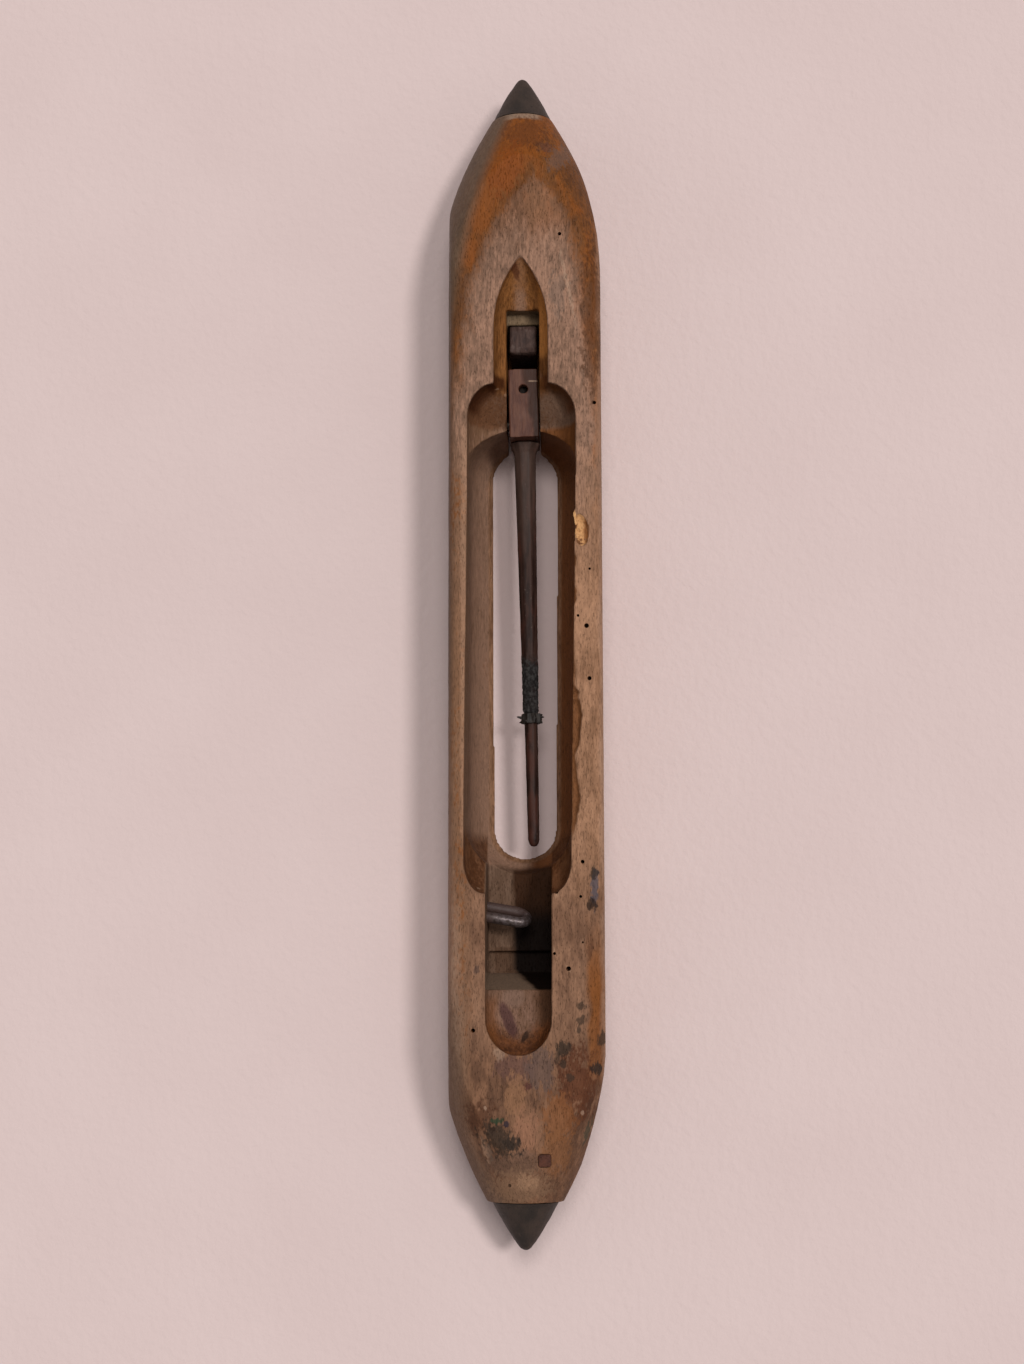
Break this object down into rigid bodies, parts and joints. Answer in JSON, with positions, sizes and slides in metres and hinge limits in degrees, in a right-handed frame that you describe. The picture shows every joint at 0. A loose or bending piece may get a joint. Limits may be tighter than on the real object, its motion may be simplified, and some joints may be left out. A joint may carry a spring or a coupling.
{
  "type": "weaving shuttle",
  "caption": "Wooden power-loom shuttle with steel tips, a hinged steel spindle in its main slot, a thread chamber with a wire guide, and an eye in its front wall.",
  "frame": {"origin": "centre of the flat back, under the middle of the overall length", "axes": "+X along the shuttle towards the thread-exit end, +Y towards the back wall, +Z out of the open face"},
  "size_m": [0.385, 0.051, 0.038],
  "materials": {
    "body_wood": "old hardwood, oiled and varnished, worn grey-pink on the open face",
    "block_wood": "hardwood stained purple-grey by iron",
    "tip_steel": "dark worn steel",
    "spindle_iron": "brown patina, dark and greasy",
    "spring_steel": "blued spring steel",
    "pin_steel": "dark steel",
    "guide_wire": "thread-polished wire with rust at the wall",
    "eye_glaze": "glazed porcelain",
    "nail_iron": "red-brown rust"
  },
  "bodies": {
    "body": {"shuttle_body": "body_wood", "tongue_end_tip": "tip_steel", "eye_end_tip": "tip_steel", "pivot_pin": "pin_steel", "heel_spring": "spring_steel", "spring_block": "block_wood", "spring_screw": "pin_steel", "thread_guide": "guide_wire", "thread_eye": "eye_glaze", "nose_nail": "nail_iron"},
    "spindle": {"spindle_heel": "spindle_iron", "spindle_rod": "spindle_iron", "heel_rivet": "pin_steel", "grip_ring": "spindle_iron"}
  },
  "joints": [
    {"name": "spindle_hinge", "type": "hinge", "parent": "body", "child": "spindle", "pos_m": [-0.075, 0, 0.014], "axis": [0, -1, 0], "range_deg": [0, 50]}
  ]
}
